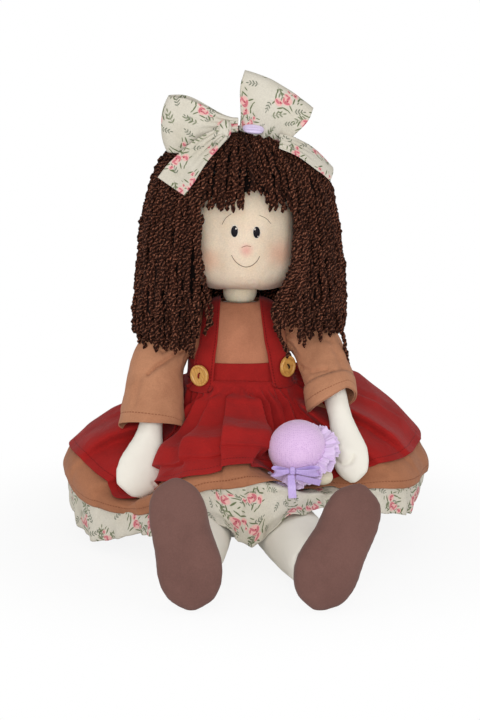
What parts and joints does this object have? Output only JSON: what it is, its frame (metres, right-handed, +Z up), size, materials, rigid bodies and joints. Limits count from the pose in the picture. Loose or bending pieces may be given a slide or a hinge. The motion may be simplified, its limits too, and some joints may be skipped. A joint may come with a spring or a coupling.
{
  "type": "rag doll",
  "caption": "Seated stuffed rag doll with yarn hair, a cloth bow, a pinafore over layered skirts, turning head and swinging limbs, and a bonneted baby on its lap.",
  "frame": {"origin": "middle of the flat seat under the torso, on the surface the doll sits on", "axes": "+Z up along the torso, -Y forwards out of the face and along the legs, +X towards the doll's own left side"},
  "size_m": [0.4184, 0.4449, 0.5037],
  "materials": {
    "cream_cotton": "plain woven cotton, softly creased over stuffing",
    "tan_cotton": "plain woven cotton",
    "red_cotton": "plain woven cotton, gathered",
    "floral_cotton": "cream cotton printed with small rosebuds and leaves",
    "foot_cotton": "mauve-brown cotton stretched over stuffing",
    "yarn": "twisted dark brown yarn",
    "wood": "smooth varnished wood",
    "lilac_cotton": "fine lilac gauze over a stuffed ball",
    "lilac_lace": "gathered lilac lace",
    "lilac_satin": "narrow satin ribbon",
    "beige_cotton": "plain woven cotton over stuffing"
  },
  "bodies": {
    "doll": {"torso": "cream_cotton", "bodice": "tan_cotton", "pinafore_waistband": "red_cotton", "strap_right": "red_cotton", "strap_left": "red_cotton", "button_right": "wood", "button_left": "wood", "petticoat": "floral_cotton", "underskirt": "tan_cotton", "pinafore_skirt": "red_cotton"},
    "neck": {"neck": "cream_cotton"},
    "head": {"head": "cream_cotton", "hair_cap": "yarn", "hair_fringe": "yarn", "hair_curtain_right": "yarn", "hair_curtain_left": "yarn", "hair_back": "yarn", "bow_tie": "lilac_satin", "bow_gather": "floral_cotton", "bow_loop_left": "floral_cotton", "bow_loop_right": "floral_cotton", "bow_tail_right": "floral_cotton", "bow_tail_left": "floral_cotton"},
    "arm_right": {"arm_right": "cream_cotton", "sleeve_right": "tan_cotton"},
    "arm_left": {"arm_left": "cream_cotton", "sleeve_left": "tan_cotton", "turn_up_left": "tan_cotton"},
    "leg_right": {"leg_right": "cream_cotton", "foot_right": "foot_cotton"},
    "leg_left": {"leg_left": "cream_cotton", "foot_left": "foot_cotton"},
    "baby": {"bonnet_crown": "lilac_cotton", "bonnet_frill": "lilac_lace", "baby_body": "beige_cotton", "bonnet_knot": "lilac_satin", "bonnet_loop_right": "lilac_satin", "bonnet_loop_left": "lilac_satin", "bonnet_ribbon_right": "lilac_satin", "bonnet_ribbon_left": "lilac_satin"}
  },
  "joints": [
    {"name": "neck_turn", "type": "hinge", "parent": "doll", "child": "neck", "pos_m": [0, 0, 0.258], "axis": [0, 0, 1], "range_deg": [-35, 35], "stiffness_Nm_per_rad": 0.15, "deforming": ["hair_curtain_right", "hair_curtain_left", "hair_back"]},
    {"name": "head_nod", "type": "hinge", "parent": "neck", "child": "head", "pos_m": [0, 0, 0.27], "axis": [1, 0, 0], "range_deg": [-12, 18], "stiffness_Nm_per_rad": 8, "deforming": ["hair_curtain_right", "hair_curtain_left", "hair_back"]},
    {"name": "shoulder_right", "type": "hinge", "parent": "doll", "child": "arm_right", "pos_m": [-0.052, 0, 0.232], "axis": [-1, 0, 0], "range_deg": [0, 95], "deforming": ["hair_curtain_right", "hair_back"]},
    {"name": "shoulder_left", "type": "hinge", "parent": "doll", "child": "arm_left", "pos_m": [0.052, 0, 0.232], "axis": [-1, 0, 0], "range_deg": [0, 95], "deforming": ["hair_curtain_left", "hair_back"]},
    {"name": "hip_right", "type": "hinge", "parent": "doll", "child": "leg_right", "pos_m": [-0.038, -0.0872, 0.036], "axis": [-1, 0, 0], "range_deg": [-90, 0], "deforming": ["petticoat", "underskirt", "pinafore_skirt"]},
    {"name": "hip_left", "type": "hinge", "parent": "doll", "child": "leg_left", "pos_m": [0.04, -0.0872, 0.036], "axis": [-1, 0, 0], "range_deg": [-90, 0], "deforming": ["petticoat", "underskirt", "pinafore_skirt"]},
    {"name": "baby_lift", "type": "slide", "parent": "doll", "child": "baby", "axis": [0, -0.6, 0.8], "range_m": [0, 0.15]}
  ]
}
